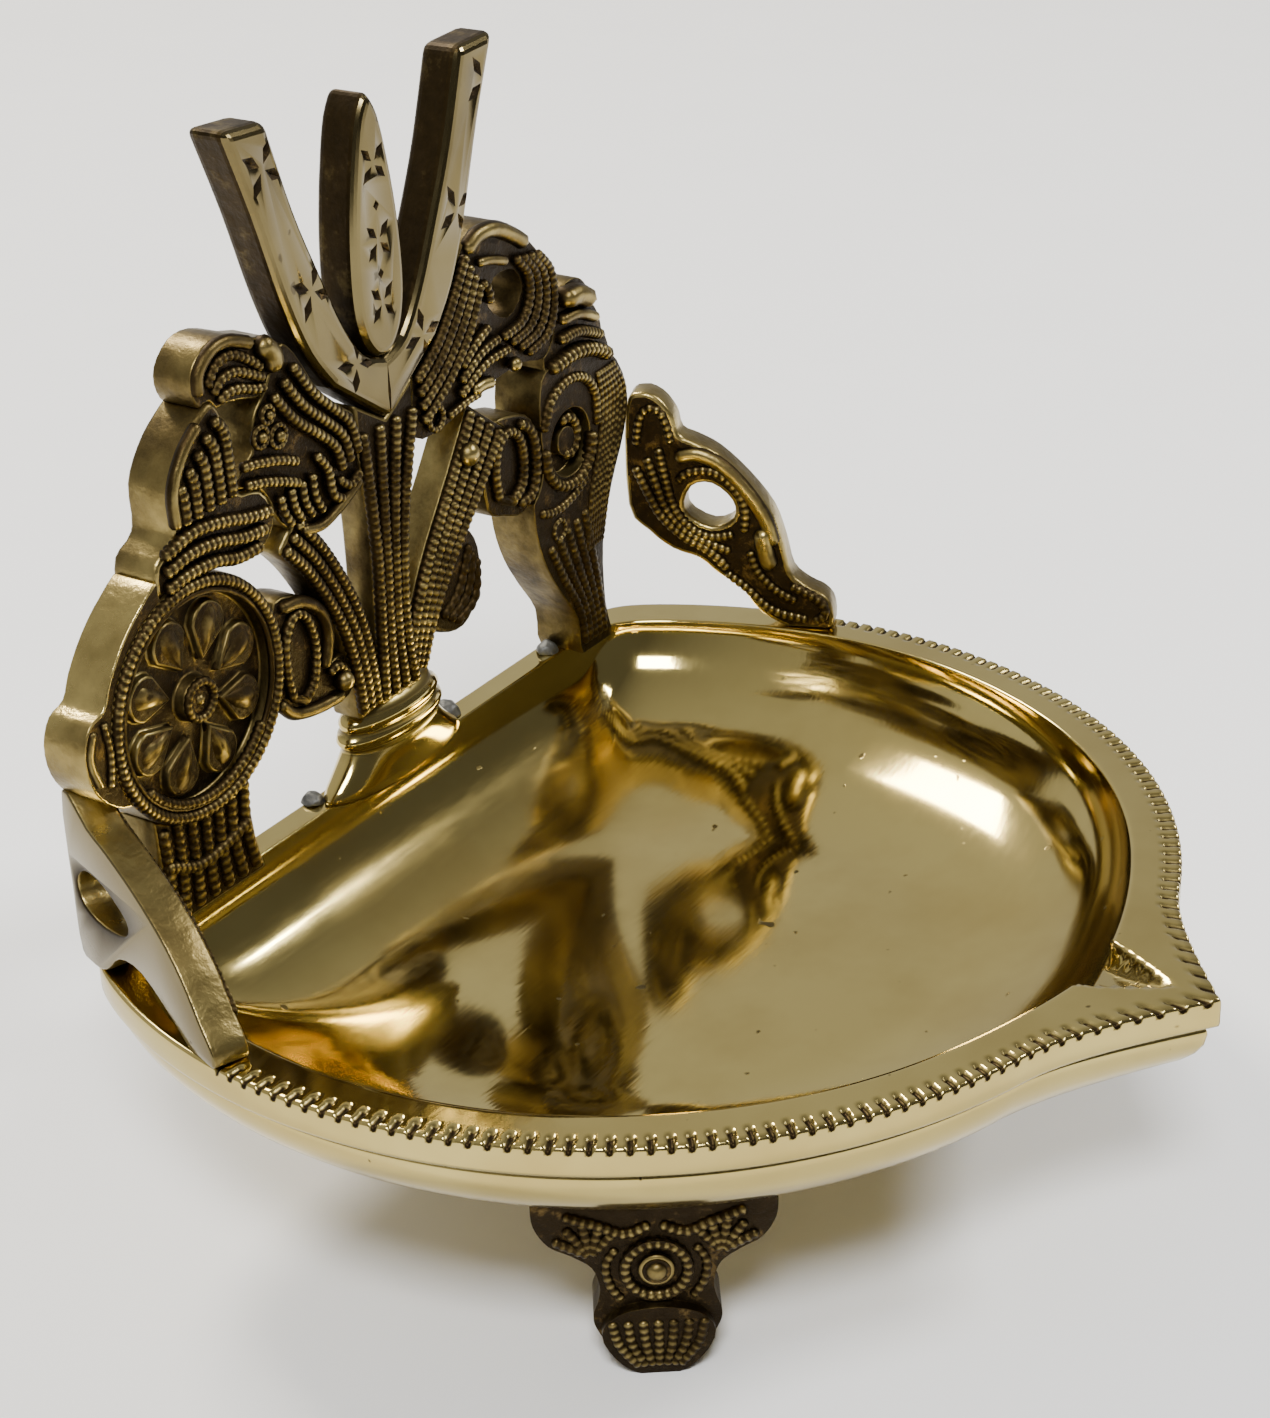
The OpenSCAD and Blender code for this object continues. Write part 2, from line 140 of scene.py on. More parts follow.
class Finish:
    """A new material whose nodes are added one at a time."""

    def __init__(self, name):
        self.material = bpy.data.materials.new(name)
        self.material.use_nodes = True
        self.tree = self.material.node_tree
        self.shader = self.tree.nodes["Principled BSDF"]

    def add(self, kind, settings, sockets, output=0):
        node = self.tree.nodes.new(kind)
        for name, value in settings.items():
            if name == "stops":
                ramp = node.color_ramp
                for i, (position, level) in enumerate(value):
                    stop = ramp.elements[i] if i < 2 else ramp.elements.new(position)
                    stop.position, stop.color = position, (level, level, level, 1)
            else:
                setattr(node, name, value)
        for name, value in sockets.items():
            self.plug(node.inputs[name], value)
        return Wire(self, node.outputs[output])

    def plug(self, socket, value):
        if isinstance(value, Wire):
            self.tree.links.new(value.socket, socket)
        else:
            socket.default_value = value

    def where(self):
        return self.add("ShaderNodeTexCoord", {}, {}, output="Object")

    def attribute(self, name):
        return self.add("ShaderNodeAttribute", {"attribute_name": name}, {}, output="Fac")

    def speckle(self, scale, detail=3.0, rough=0.6, stretch=None):
        place = self.where()
        if stretch:
            place = self.add("ShaderNodeMapping", {}, {"Vector": place, "Scale": stretch})
        return self.add("ShaderNodeTexNoise", {},
                        {"Vector": place, "Scale": scale, "Detail": detail,
                         "Roughness": rough})

    def steps(self, wire, *stops):
        return self.add("ShaderNodeValToRGB", {"stops": stops}, {"Fac": wire})

    def blend(self, amount, a, b):
        return self.add("ShaderNodeMix", {"data_type": "RGBA"},
                        {"Factor": amount, 6: a, 7: b}, output=2)

    def bump(self, height, strength, distance):
        return self.add("ShaderNodeBump", {},
                        {"Height": height, "Strength": strength, "Distance": distance})

    def surface(self, **sockets):
        for name, value in sockets.items():
            self.plug(self.shader.inputs[name.replace("_", " ")], value)
        return self.material


# %% [markdown]
# Polished brass: pale gold, nearly a mirror. Wiping leaves faint scratches, the casting
# leaves tiny pits, and tarnish turns some patches browner and duller. Three noise
# patterns of different sizes do this, and they need no picture. A near-black brown is
# mixed in for painted shade in notches, grooves and joins, for dirt in the wick hollow,
# for darkening round the left wing's slot and a little on the outside. The flat faces
# that stand upright are duller and get a darker, olive pair of colours: that darkness
# is painted shade.

# %% Polished brass
# The first colour below is the near-black brown used for painted shade in notches, grooves and
# joins, for dirt in the wick hollow, and for plain darkening elsewhere.
DIRT_AND_SHADE = (0.022, 0.014, 0.006, 1.0)
PALE_GOLD, OLD_GOLD = (0.64, 0.51, 0.18, 1.0), (0.42, 0.3, 0.085, 1.0)
# The olive pair is far darker than the pale gold: painted shade for polished faces that stand
# upright.
SHADED_OLIVE, SHADED_DARK_OLIVE = (0.17, 0.135, 0.06, 1.0), (0.07, 0.05, 0.02, 1.0)


def polished_brass(name, light, tarnished, gloss, pits=1.0):
    f = Finish(name)
    cloud = f.steps(f.speckle(38.0, 4.0), (0.42, 0.0), (0.72, 1.0))
    scratch = f.speckle(260.0, 2.0, 0.5, stretch=(1.0, 7.0, 4.0))
    pit = f.steps(f.speckle(520.0, 1.0, 0.4), (0.19, 1.0), (0.225, 0.0))
    # The colour turns that brown where the mesh asks: painted shade in notches, grooves and
    # joins, dirt in the wick hollow, plain darkening elsewhere; pits darken it too.
    dark = (f.attribute("dirt_and_shade") + pit * 0.8 * pits).clamp()
    metal = f.blend(cloud * 0.55, light, tarnished)
    colour = f.blend(dark, metal, DIRT_AND_SHADE)
    rough = cloud * 0.06 + scratch * 0.05 + dark * 0.35 + gloss
    height = scratch * 0.25 - pit * pits
    return f.surface(Base_Color=colour, Metallic=1.0, Roughness=rough,
                     Normal=f.bump(height, 0.12, 0.00012))


bowl_brass = polished_brass("polished_brass", PALE_GOLD, OLD_GOLD, 0.045)
# A darker copy of the polished brass for upright faces; its darkness is painted shade.
shaded_face_brass = polished_brass("shaded_face_brass", SHADED_OLIVE, SHADED_DARK_OLIVE, 0.14, pits=0.6)

# %% [markdown]
# Antique brass: the ornament was darkened and then rubbed, so black-brown patina stays
# in every groove and the crests are bright. The mesh knows which is which: each vertex
# carries a number called worn, 0 in a groove and 1 on a crest. Squaring it keeps the
# bright part to the very top of a bead.

# %% Antique brass
BLACK_BROWN, BROWN = (0.010, 0.007, 0.003, 1.0), (0.05, 0.032, 0.012, 1.0)
RUBBED, BRIGHT = (0.19, 0.13, 0.04, 1.0), (0.56, 0.44, 0.16, 1.0)


def antique_brass():
    f = Finish("antique_brass")
    worn = f.attribute("worn")
    grain = f.speckle(420.0, 4.0, 0.7)
    patch = f.steps(f.speckle(70.0, 3.0), (0.35, 0.2), (0.7, 1.0))
    dents = f.speckle(110.0, 4.0, 0.6)
    crest = worn * worn * (patch * 0.8 + 0.35)
    bright = (crest + grain * 0.6 - 0.46).clamp()
    brown = f.blend(grain, BLACK_BROWN, BROWN)
    metal = f.blend(patch, RUBBED, BRIGHT)
    return f.surface(Base_Color=f.blend(bright, brown, metal), Metallic=1.0,
                     Roughness=0.5 - bright * 0.3,
                     Normal=f.bump(grain * 0.4 + dents, 0.5, 0.0006))


def dark_recess(shade):
    """The patina that no cloth reaches: nearly black, a little brown, rough."""
    f = Finish("dark_recess")
    grain = f.speckle(300.0, 5.0, 0.75)
    glint = f.steps(grain, (0.56, 0.0), (0.72, 0.6))
    dark = tuple(0.2 * c for c in shade) + (1.0,)
    brown = f.blend(grain, dark, shade + (1.0,))
    return f.surface(Base_Color=f.blend(glint, brown, (0.22, 0.14, 0.045, 1.0)),
                     Metallic=0.95, Roughness=0.5, Normal=f.bump(grain, 0.7, 0.0005))


def solder_grey():
    f = Finish("solder")
    grain = f.speckle(600.0, 4.0, 0.7)
    colour = f.blend(grain, (0.02, 0.02, 0.018, 1.0), (0.16, 0.16, 0.15, 1.0))
    return f.surface(Base_Color=colour, Metallic=0.7, Roughness=grain * 0.3 + 0.35,
                     Normal=f.bump(grain, 0.6, 0.0003))


antique = antique_brass()
recess = dark_recess((0.035, 0.023, 0.01))
ornate = (antique, recess)
solder_metal = solder_grey()
print("materials:", [m.name for m in bpy.data.materials])

# %% [markdown]
# Every finished piece leaves by the same door: normals outward, smooth shading, a
# material, a place under the root body, and the CAD nodes it stands for hidden.

# %% Finish a piece
def finish_piece(bm, name, nodes, material, flat_angle=None):
    bmesh.ops.recalc_face_normals(bm, faces=bm.faces)
    mesh = bpy.data.meshes.new(name)
    bm.to_mesh(mesh)
    bm.free()
    mesh.shade_smooth()
    if flat_angle:
        mesh.set_sharp_from_angle(angle=math.radians(flat_angle))
    piece = bpy.data.objects.new(name, mesh)
    bpy.context.collection.objects.link(piece)
    for m in (material if isinstance(material, tuple) else (material,)):
        mesh.materials.append(m)
    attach(piece, "root")
    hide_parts(*nodes)
    print(name, len(mesh.polygons), "faces")
    return piece


# %% [markdown]
# Almost everything rolled, turned or drawn out by hand is a sheet bent to shape: the
# bowl's skin, a rib of beads, a ring. A grid is made flat, a rule moves each of its
# vertices, and the edges that meet are welded. The rule also says how worn that spot is.

# %% Bent sheets
def new_mesh():
    bm = bmesh.new()
    bm.verts.layers.float.new("worn")
    bm.verts.layers.float.new("dirt_and_shade")
    return bm


def sheet(bm, across, along, rule, layer="worn"):
    value = bm.verts.layers.float[layer]
    made = bmesh.ops.create_grid(bm, x_segments=across, y_segments=along, size=1.0)
    for v in made["verts"]:
        i = round((v.co.x + 1) / 2 * across)
        j = round((v.co.y + 1) / 2 * along)
        v.co, v[value] = rule(i, j)
    bmesh.ops.remove_doubles(bm, verts=made["verts"], dist=3e-6)


# %% [markdown]
# The bowl is one skin: up the belly, over the groove and the smooth band, across the
# flat rim, and down into the basin. One side of the sheet runs round the rim, the other
# along the section. Turning a profile would give a round bowl, but this rim is cut
# straight at the back and has a lip in front, so the distance to the edge is a formula.

# %% Bowl section
CORNER, MIDDLE_Y, FLOOR = 26.0, -9.0, 0.5
DEPTH, THICK, RIM_W = 14.0, 2.2, 5.3
REAR, INNER_REAR, WALL_REAR = 35.5, 32.2, 32.05
LIP_SPREAD, INNER_LIP, INNER_LIP_SPREAD = 18, 1.6, 25
BAND, BELLY_STEPS = 4.6, 14


def edge(phi, r, rear, lip, lip_angle):
    """Distance to an outline: a circle, cut off straight at the rear, with a lip."""
    back = max(-math.cos(phi), 1e-4)
    near = min(abs(math.degrees(phi)) / lip_angle, 1.0)
    straight = (1 / r) ** CORNER + (back / rear) ** CORNER
    return straight ** (-1 / CORNER) + lip * (1 - near) ** 1.9


def outside_rows():
    """Rows of (inward from the rim, share of the lip, shrink, height)."""
    rows = []
    for i in range(BELLY_STEPS + 1):
        t = math.radians(90 * i / BELLY_STEPS)
        shrink = 1 - (1 - FLOOR) * (1 - math.sin(t))
        height = -BAND - (DEPTH + THICK - BAND) * math.cos(t)
        rows.append((1.2, math.sin(t) ** 2, shrink, height))
    edges = [(1.25, -4.2), (1.6, -3.9), (1.6, -3.6), (0.5, -3.4), (0.1, -3.25), (0, -2.9),
             (0, -1.8), (0, -0.9), (0.02, -0.4), (0.12, -0.15), (0.35, -0.02)]
    return rows + [(inward, 1, 1, height) for inward, height in edges]


OUTSIDE = outside_rows()
RIM_ROWS = (0.14, 0.2, 0.27, 0.34, 0.4, 0.5, 0.6, 0.7, 0.8, 0.9, 0.96)
BASIN_ROWS = [(0.0, -0.05), (0.6, -0.25)] + [(3.0 * i, None) for i in range(1, 31)]
print("the section has", len(OUTSIDE) + len(RIM_ROWS) + len(BASIN_ROWS) + 2, "rows")

# %% [markdown]
# Two things are cut into the rim. The lip has a three-cornered hollow where the wick
# lies, and its outer edge has a row of little file cuts. Both are only a change of
# height, so the rule that places a vertex of the skin can ask how deep the cut is there.

# %% Wick hollow and filed notches
NOTCH_PITCH, NOTCH_LONG, NOTCH_DEEP, PIT_FROM = 1.9, 2.0, 0.45, 1.4
NOTCHED, LAST_NOTCH = math.radians(101), math.radians(99)
WICK_BASE, WICK_TIP, WICK_HALF, WICK_DEEP = -54.5, -64.6, 5.2, 3.4


def angles_round_rim(coarse=70):
    """Eight steps a notch where the rim is notched, wider steps along the back."""
    step = NOTCH_PITCH / 8 / RIM_R
    fine = round(NOTCHED / step)
    start = fine * step
    back = [start + (math.pi - start) * i / coarse for i in range(coarse + 1)]
    front = [step * i for i in range(-fine + 1, fine)]
    return [-a for a in reversed(back)] + front + back


def wick_floor(x, y, z):
    """A three-cornered hollow in the lip that slopes down into the basin."""
    share = (y - WICK_TIP) / (WICK_BASE - WICK_TIP)
    if share <= 0 or y > WICK_BASE + 6:
        return z, 0.0
    half = WICK_HALF * min(share, 1.0)
    inside = min(max((half - abs(x)) / 0.8, 0.0), 1.0)
    floor = -WICK_DEEP * min(share, 1.6) ** 0.8
    return (z + (floor - z) * inside, inside) if floor < z else (z, 0.0)


def filed(phi, inward):
    """Depth of the notches along the rim's outer edge; each ends in a small pit."""
    if abs(phi) > LAST_NOTCH or inward > NOTCH_LONG:
        return 0.0
    off = abs((abs(phi) * RIM_R / NOTCH_PITCH) % 1.0 - 0.5) * NOTCH_PITCH
    wide = 0.5 if inward > PIT_FROM else 0.4
    return NOTCH_DEEP * max(0.0, 1 - (off / wide) ** 2)


# %% [markdown]
# A column is one slice through the skin, written as places with a number that darkens
# the colour: painted shade, full in the notches and in the groove under the band, a
# little plain darkening on the outside, none in the basin.

# %% Bowl
# Painted shade for the groove under the band, also put round the left wing's slot; plain
# darkening on the outside and at the bottom middle; dirt in the wick hollow.
GROOVE_SHADE_AND_SLOT_DARK, DIRTY_OUTSIDE, DIRTY_WICK, BOTTOM_MIDDLE_DARK = 0.9, 0.22, 0.25, 0.3


def notch_shade(cut):
    """Painted shade in a notch: full from about a third of a millimetre down."""
    return min(cut * 3.2, 1.0)


def bowl_column(phi):
    """One section of the skin, from the belly's floor to the basin's floor."""
    outer = edge(phi, RIM_R, REAR, LIP, LIP_SPREAD)
    inner = edge(phi, RIM_R - RIM_W, INNER_REAR, INNER_LIP, INNER_LIP_SPREAD)
    sx, sy = math.sin(phi), -math.cos(phi)
    column = [(0, MIDDLE_Y * 0.5, -DEPTH - THICK, BOTTOM_MIDDLE_DARK)]
    for inward, lip, shrink, z in OUTSIDE:
        d = edge(phi, RIM_R - inward, REAR - inward, LIP * lip, LIP_SPREAD)
        cut = filed(phi, inward) if z > -0.5 else 0.0
        # Rows in the groove under the band get painted shade, the rest of the outside plain
        # darkening; notches add painted shade.
        dirt_and_shade = GROOVE_SHADE_AND_SLOT_DARK if inward > PIT_FROM else DIRTY_OUTSIDE
        column.append((d * sx * shrink, MIDDLE_Y + (d * sy - MIDDLE_Y) * shrink, z - cut,
                       notch_shade(cut) + dirt_and_shade))
    for share in RIM_ROWS:
        d = outer + (inner - outer) * share
        # Notches on the rim get painted shade, the wick hollow dirt.
        cut = filed(phi, outer - d)
        z, inside = wick_floor(d * sx, d * sy, 0.0)
        column.append((d * sx, d * sy, z - cut, notch_shade(cut) + inside * DIRTY_WICK))
    for angle, level in BASIN_ROWS:
        t = math.radians(angle)
        shrink = 1 - (1 - FLOOR) * (1 - math.cos(t))
        d = edge(phi, RIM_R - RIM_W - 0.15, WALL_REAR, INNER_LIP * math.cos(t) ** 2,
                 INNER_LIP_SPREAD)
        x, y = d * sx * shrink, MIDDLE_Y + (d * sy - MIDDLE_Y) * shrink
        z, inside = wick_floor(x, y, level or -DEPTH * math.sin(t))
        column.append((x, y, z, inside * DIRTY_WICK))
    return column + [(0, MIDDLE_Y * 0.5, -DEPTH, 0.0)]


def build_bowl():
    columns = [bowl_column(phi) for phi in angles_round_rim()]
    bm = new_mesh()

    def skin(i, j):
        x, y, z, dirt_and_shade = columns[i][j]
        return rim(x, y, z), min(dirt_and_shade, 1.0)
    sheet(bm, len(columns) - 1, len(columns[0]) - 1, skin, layer="dirt_and_shade")
    return bm


finish_piece(build_bowl(), "bowl_shell", ["bowl"], bowl_brass)

# %% [markdown]
# The plate's ornament is ribs of tiny beads, cut in wax as side-by-side ropes before the
# casting. One rope is a sheet rolled round a curve, swelling at every bead. Its crest is
# worn bright and the hollow between two beads stays dark.

# %% Curves and ropes
ROPE_SIDES, SUNK, THIN_WAIST = 8, 0.06, 0.72


def smooth_curve(points, step=0.22):
    """Even steps along a soft curve through the points, and the curve's whole length."""
    pts = [Vector(p) for p in points]
    ends = [pts[0] * 2 - pts[1]] + pts + [pts[-1] * 2 - pts[-2]]
    fine = []
    for a, b, c, d in zip(ends, ends[1:], ends[2:], ends[3:]):
        for k in range(12):
            t = k / 12
            fine.append(0.5 * (2 * b + (c - a) * t + (2 * a - 5 * b + 4 * c - d) * t * t
                               + (3 * b - a - 3 * c + d) * t ** 3))
    fine.append(pts[-1])
    length = sum((b - a).length for a, b in zip(fine, fine[1:]))
    count = max(round(length / step), 4)
    path, gone, k = [fine[0]], 0.0, 1
    for a, b in zip(fine, fine[1:]):
        part = (b - a).length
        while k <= count and gone + part >= length * k / count - 1e-9:
            path.append(a + (b - a) * ((length * k / count - gone) / max(part, 1e-9)))
            k += 1
        gone += part
    return path, length


def rope(bm, face, points, wide=1.3, bead=0.85, high=1.0, out=0.0, wear=1.0,
         closed=False):
    """One rib along the points; without a bead size it is a smooth cord of metal."""
    path, length = smooth_curve(points)
    steps = len(path) - 1
    beads = max(round(length / bead), 1) if bead else 0

    def skin(i, j):
        j = j % steps if closed else j
        a, b = path[max(j - 1, 0)], path[min(j + 1, steps)]
        if closed:
            a, b = path[(j - 1) % steps], path[(j + 1) % steps]
        along = (b - a).normalized()
        gone = length * j / steps
        crest = abs(math.sin(math.pi * beads * j / steps)) ** 0.6 if beads else 1.0
        end = 1.0 if closed else min(gone, length - gone) / (wide * 0.5)
        taper = math.sqrt(max(1 - (1 - min(end, 1.0)) ** 2, 0.0))
        r = wide / 2 * (THIN_WAIST + (1 - THIN_WAIST) * crest) * taper
        turn = 2 * math.pi * (i % ROPE_SIDES) / ROPE_SIDES
        side, rise = r * math.cos(turn), r * high * math.sin(turn)
        spot = path[j] + Vector((-along.y, along.x)) * side
        shine = max(math.sin(turn), 0.0) ** 0.7 * (0.15 + 0.85 * crest ** 2) * wear
        return face(spot.x, spot.y, out + rise - SUNK * wide), shine
    sheet(bm, ROPE_SIDES, steps, skin)


def fan(bm, face, first, last, count, **kind):
    """Ropes side by side, from the first curve over to the last."""
    for k in range(count):
        t = k / max(count - 1, 1)
        rope(bm, face, [Vector(a).lerp(Vector(b), t) for a, b in zip(first, last)], **kind)


def ring(bm, face, u, v, r, start=0, stop=360, **kind):
    """A rope bent to a circle, or to part of one."""
    turns = [math.radians(start + (stop - start) * k / 24) for k in range(25)]
    rope(bm, face, [(u + r * math.cos(t), v + r * math.sin(t)) for t in turns],
         closed=stop - start == 360, **kind)


def ball(bm, face, u, v, r, out=0.0, flat=1.0):
    """A round boss, half sunk in the face."""
    worn = bm.verts.layers.float["worn"]
    made = bmesh.ops.create_icosphere(bm, subdivisions=3, radius=1.0)["verts"]
    for x in made:
        p = x.co.copy()
        x.co = face(u + p.x * r, v + p.y * r, out + p.z * r * flat)
        x[worn] = max(p.z, 0.0) ** 0.5


# %% [markdown]
# Under the ribs, each part of the plate is a plain slab with a pierced outline, and the
# CAD node already has exactly that shape. A copy of it is welded, its flat faces are
# made whole, and its sharp edges are rounded as a file would leave them. The broad
# faces lie deep between the ribs, so they take the dark finish.

# %% Slabs from the frame
SHARP, NEARLY_SQUARE = math.radians(38), 0.95


def slab(node, round_by=0.4, segments=2, side_wear=0.15, edge_wear=0.75,
         front=Vector((0, -1, 0))):
    """A rounded copy of a CAD node; its broad front and back take material 1."""
    bm = bmesh.new()
    bm.from_mesh(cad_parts[node].data)
    worn = bm.verts.layers.float.new("worn")
    bm.verts.layers.float.new("dirt_and_shade")
    bmesh.ops.remove_doubles(bm, verts=bm.verts, dist=1e-6)
    bmesh.ops.dissolve_limit(bm, angle_limit=math.radians(1), verts=bm.verts,
                             edges=bm.edges)
    sharp = [e for e in bm.edges if len(e.link_faces) == 2
             and e.calc_face_angle() > SHARP]
    made = bmesh.ops.bevel(bm, geom=sharp, offset=round_by * MM, segments=segments,
                           profile=0.5, affect="EDGES", clamp_overlap=True, material=-1)
    for v in bm.verts:
        v[worn] = side_wear
    for f in made["faces"]:
        for v in f.verts:
            v[worn] = edge_wear
    for f in bm.faces:
        broad = abs(f.normal.dot(front)) > NEARLY_SQUARE and f.calc_area() > MM * MM
        f.material_index = 1 if broad else 0
    return bm


# %% [markdown]
# The discus is a wheel: a beaded rim, a dark sunken field, eight swelling petals and a
# hub. Every petal is a small dome, wide outside and narrow towards the hub.

# %% Discus
DISC_X, DISC_Z, DISC_R, PETALS = -34.3, 24.0, 13.3, 8
PETAL_AT, PETAL_LONG, PETAL_WIDE, PETAL_HIGH, FIELD = 7.2, 3.3, 2.45, 1.35, -1.4


def petal(bm, angle):
    """A dome pointing out from the hub; a little noise makes it look struck by hand."""
    worn = bm.verts.layers.float["worn"]
    turn = math.radians(angle)
    made = bmesh.ops.create_icosphere(bm, subdivisions=3, radius=1.0)["verts"]
    for v in made:
        p = v.co.copy()
        out = PETAL_AT + PETAL_LONG * p.y
        across = PETAL_WIDE * p.x * (0.62 + 0.38 * p.y)
        u = DISC_X + out * math.cos(turn) - across * math.sin(turn)
        w = DISC_Z + out * math.sin(turn) + across * math.cos(turn)
        grain = noise.noise(Vector((u, w, 0)) * 1.6)
        v.co = plate_face(u, w, FIELD + PETAL_HIGH * p.z + 0.16 * grain)
        v[worn] = max(p.z, 0.0) * (0.65 + 0.6 * grain)


def build_discus():
    bm = slab("discus", 0.25)
    for k in range(PETALS):
        petal(bm, 90 + 360 * (k + 0.5) / PETALS)
    ring(bm, plate_face, DISC_X, DISC_Z, DISC_R - 0.75, wide=1.5, bead=0.8)
    ring(bm, plate_face, DISC_X, DISC_Z, DISC_R - 1.75, wide=0.7, bead=None, wear=0.5)
    ring(bm, plate_face, DISC_X, DISC_Z, DISC_R - 2.2, start=215, stop=325, wide=1.3,
         bead=0.8, wear=0.8)
    ring(bm, plate_face, DISC_X, DISC_Z, 2.0, wide=1.1, bead=0.7, out=0.1)
    ball(bm, plate_face, DISC_X, DISC_Z, 0.7, out=-0.3)
    return bm


finish_piece(build_discus(), "discus_wheel", ["discus"], ornate)

# %% [markdown]
# Round the wheel sit its leafy base, the smooth band with a knob on the left, and the
# beaded scroll that ties it to the stalk.

# %% Round the discus
def build_discus_base():
    bm = slab("discus_base")
    fan(bm, plate_face, [(-41.2, 12), (-41, 6), (-41.6, 0.6)],
        [(-28.4, 12.6), (-28.6, 6), (-27.4, 0.6)], 7, wide=1.7, bead=1.0, out=-0.8)
    rope(bm, plate_face, [(-41.6, 7.6), (-36, 5.6), (-28.2, 7)], wide=1.5, out=-0.4)
    return bm


def build_edge_band():
    bm = slab("left_edge_band", 0.9, 4, side_wear=0.85, edge_wear=1.0)
    rope(bm, plate_face, [(-48.6, 20.4), (-48.1, 24), (-48.6, 27.8)], wide=1.0, out=0.1)
    rope(bm, plate_face, [(-49.8, 21), (-50.9, 24.4), (-50, 27.4)], wide=1.0, bead=None)
    return bm


def build_discus_scroll():
    bm = slab("discus_scroll")
    rope(bm, plate_face, [(-19.2, 17.4), (-19.8, 21), (-19.5, 24.6), (-17.8, 26.6),
                          (-15.8, 25.4), (-14.8, 21.6), (-15.6, 17.8), (-17.4, 16.2)],
         wide=1.3, closed=True, out=-0.6)
    rope(bm, plate_face, [(-20, 28.2), (-16.4, 27.6), (-13.4, 25.4), (-12.4, 22),
                          (-13.4, 18.4)], wide=1.6, bead=None, out=-0.8, wear=0.6)
    rope(bm, plate_face, [(-21.4, 17.6), (-19, 15.4), (-15, 14.4), (-10.6, 14.2)], wide=1.5,
         bead=None, out=-0.8, wear=0.8)
    rope(bm, plate_face, [(-13, 17.6), (-11.4, 18), (-10, 16.6), (-9.6, 14.8)], out=-0.6)
    ball(bm, plate_face, -10.8, 16.0, 1.2, out=-0.4)
    return bm


for build, node, name, slot in (
        (build_discus_base, "discus_base", "discus_leaf_base", "antique_brass"),
        (build_edge_band, "left_edge_band", "smooth_band_and_knob", "polished_brass"),
        (build_discus_scroll, "discus_scroll", "scroll_beside_discus", "antique_brass")):
    finish_piece(build(), name, [node], ornate)

# %% [markdown]
# In the middle a sheaf of ribs rises from the pedestal. Two branches leave it, each a
# bundle of parallel ribs, and carry the scrolls on either side of the forehead mark.

# %% Stalk, branches and bud
def beside(points, start, end):
    """The same curve moved sideways, by start at one end and by end at the other."""
    pts = [Vector(p) for p in points]
    moved = []
    for k, p in enumerate(pts):
        along = (pts[min(k + 1, len(pts) - 1)] - pts[max(k - 1, 0)]).normalized()
        moved.append(p + Vector((-along.y, along.x)) * (start + (end - start) * k
                                                        / (len(pts) - 1)))
    return moved


LEFT_BRANCH = [(-6.2, 10.6), (-6.9, 16), (-8.2, 21.4), (-10.8, 27), (-14, 32), (-17.4, 35.8)]
RIGHT_BRANCH = [(1.8, 12), (3.8, 17), (7, 22.4), (10.9, 27.4), (14.6, 32), (18.2, 36.8)]


def build_stalk():
    bm = slab("stalk")
    fan(bm, plate_face, [(-4, 10.6), (-3.8, 18), (-3.5, 27), (-3.8, 34), (-4.5, 43)],
        [(1.7, 10.6), (0.7, 18), (1.1, 27), (2.3, 34), (4.5, 43)], 4, wide=1.6, out=-0.2)
    return bm


def build_left_branch():
    bm = slab("left_branch")
    fan(bm, plate_face, beside(LEFT_BRANCH, 1.4, 1.7), beside(LEFT_BRANCH, -1.0, -1.6), 3,
        wide=1.6, out=-0.4)
    return bm


def build_right_branch():
    bm = slab("right_branch")
    fan(bm, plate_face, beside(RIGHT_BRANCH, 1.0, 3.4), beside(RIGHT_BRANCH, -1.4, -3.4), 4,
        wide=1.7, out=-0.4)
    ball(bm, plate_face, 13.6, 34.2, 1.5, out=0.1)
    return bm


def build_bud():
    bm = slab("bud", 0.6, 3, edge_wear=0.3)
    fan(bm, plate_face, [(8.4, 15.4), (12, 17.6), (14.6, 22.6)],
        [(11, 13.8), (15, 15.6), (15.8, 20.4)], 3, wide=1.5, bead=1.3, out=-1.2, wear=0.5)
    return bm


for build, node in ((build_stalk, "stalk"), (build_left_branch, "left_branch"),
                    (build_right_branch, "right_branch"), (build_bud, "bud")):
    finish_piece(build(), "ribbed_" + node, [node], ornate)

# %% [markdown]
# Left of the mark a nest of beaded arches leans on the discus, a curl rolls over its
# top, and thin scrolls fill the corner beside the mark.

# %% Left side of the plate
def build_left_shoulder():
    bm = slab("left_shoulder", 0.5, 3, side_wear=0.7, edge_wear=0.95)
    fan(bm, plate_face, [(-28.4, 52.6), (-27, 51), (-26.6, 47.6), (-26.4, 43.4)],
        [(-34.2, 47.6), (-33.8, 46.4), (-33.7, 45), (-33.6, 43)], 5, wide=1.6, out=0.1)
    rope(bm, plate_face, [(-34.9, 43), (-34.9, 47), (-33, 50.4), (-30.2, 52.8)], wide=1.4,
         bead=None, out=-0.1)
    fan(bm, plate_face, [(-37.6, 41), (-33, 42.1), (-28.5, 41.6), (-24.5, 40.6), (-20.6, 40)],
        [(-37.6, 37.4), (-34.3, 38), (-30, 37.8), (-26.6, 36.9), (-22.6, 36.8)], 3,
        wide=1.6, out=0.1)
    return bm


def build_left_curl():
    bm = slab("left_top_curl", 0.8, 4, side_wear=0.6, edge_wear=1.0)
    rope(bm, plate_face, [(-29.2, 55), (-29, 57.4), (-26.9, 59.2), (-24.2, 59.4), (-20.4, 58)],
         wide=1.5, bead=None, out=-0.6)
    fan(bm, plate_face, [(-28, 55.6), (-26.4, 57.6), (-24, 57.9), (-21.4, 56.6), (-19.4, 55)],
        [(-26.6, 53.7), (-25, 54.2), (-23, 54), (-21, 53.3), (-19, 52.9)], 3, wide=1.3,
        out=-0.5)
    rope(bm, plate_face, [(-19.8, 58), (-18, 56.2), (-17.6, 54)], wide=2.6, bead=None,
         out=-0.4)
    return bm


